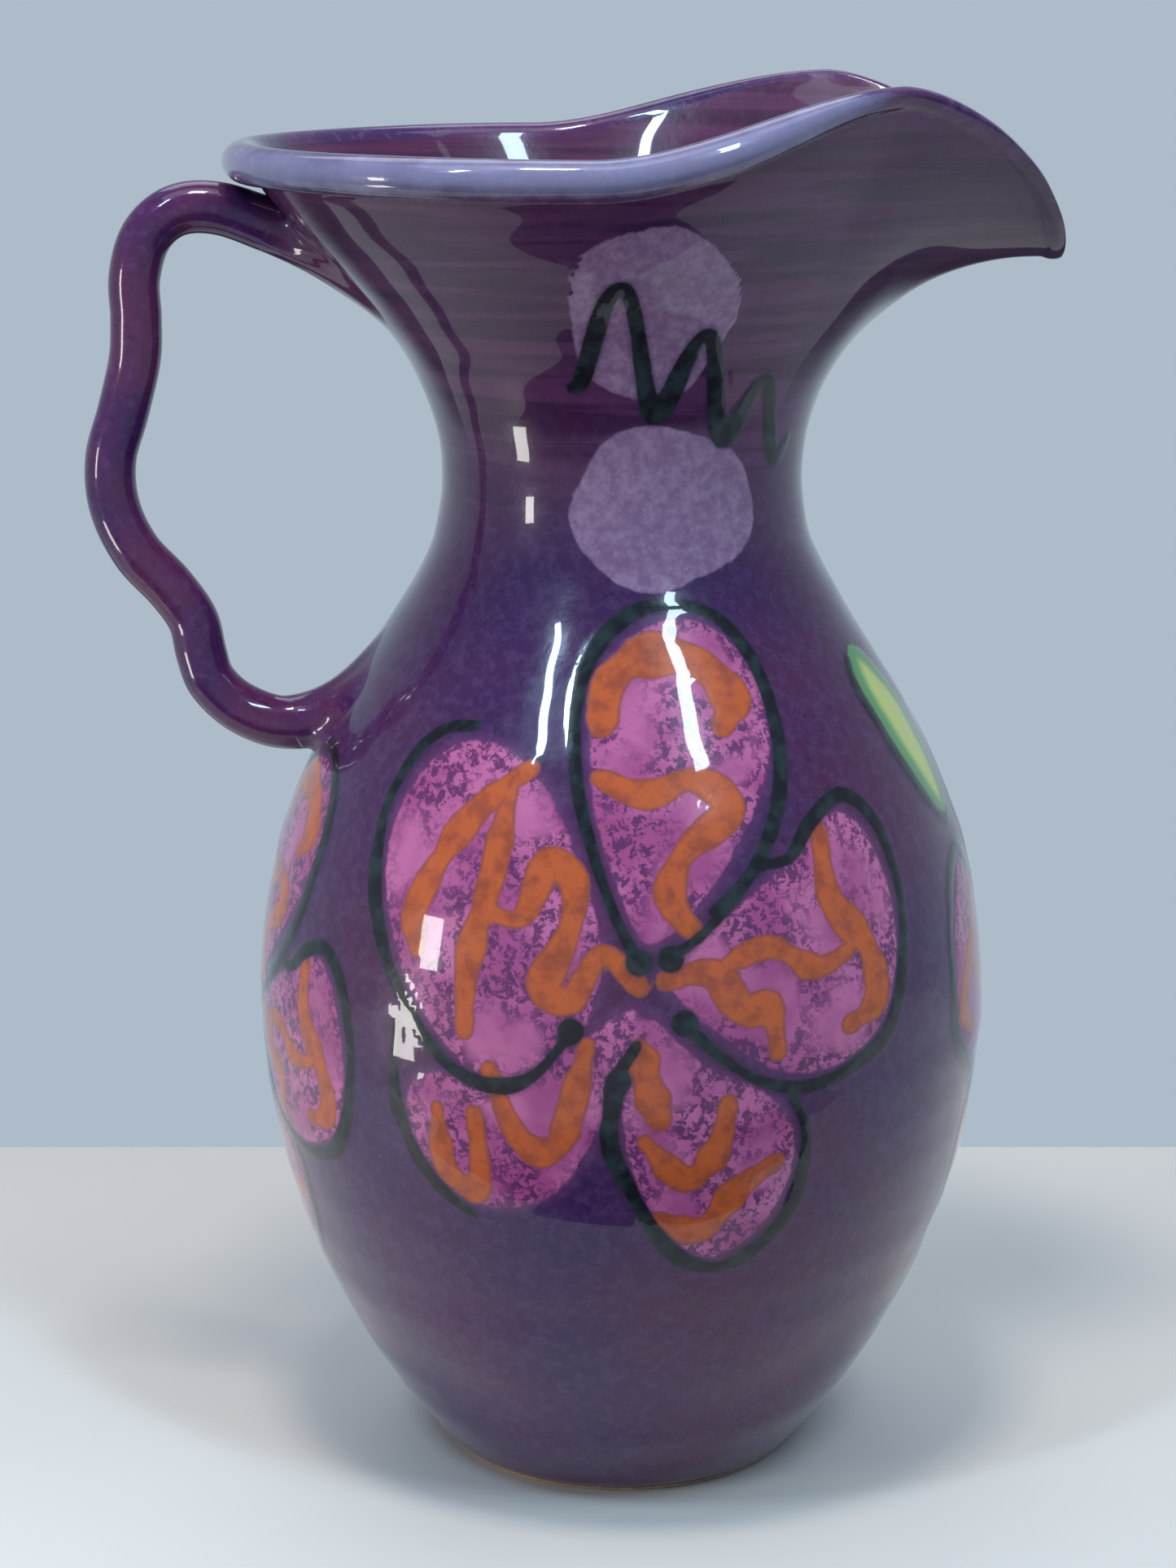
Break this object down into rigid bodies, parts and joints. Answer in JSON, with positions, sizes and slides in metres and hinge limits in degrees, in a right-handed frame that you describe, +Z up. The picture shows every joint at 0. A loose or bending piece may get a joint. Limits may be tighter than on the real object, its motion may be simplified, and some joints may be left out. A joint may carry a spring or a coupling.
{
  "type": "ceramic pitcher",
  "caption": "Glazed stoneware pitcher with an egg-shaped belly, narrow neck, flared mouth with a rolled rim and pulled spout, and a wavy coil handle.",
  "frame": {"origin": "centre of the flat underside of the foot, on the axis of the turned body", "axes": "+Z up along the axis of the turned body; +X towards the pouring tip; the handle is on the -X side"},
  "size_m": [0.1934, 0.148, 0.2815],
  "materials": {
    "aubergine_glaze": "high gloss, bare clay on the foot's underside",
    "violet_bead_glaze": "high gloss",
    "plum_glaze": "high gloss"
  },
  "bodies": {
    "root": {"foot": "aubergine_glaze", "belly": "aubergine_glaze", "shoulder": "aubergine_glaze", "flared_neck": "aubergine_glaze", "spout": "aubergine_glaze", "rim_bead": "violet_bead_glaze", "handle": "plum_glaze", "handle_top_joint": "plum_glaze", "handle_bottom_joint": "plum_glaze"}
  },
  "joints": []
}
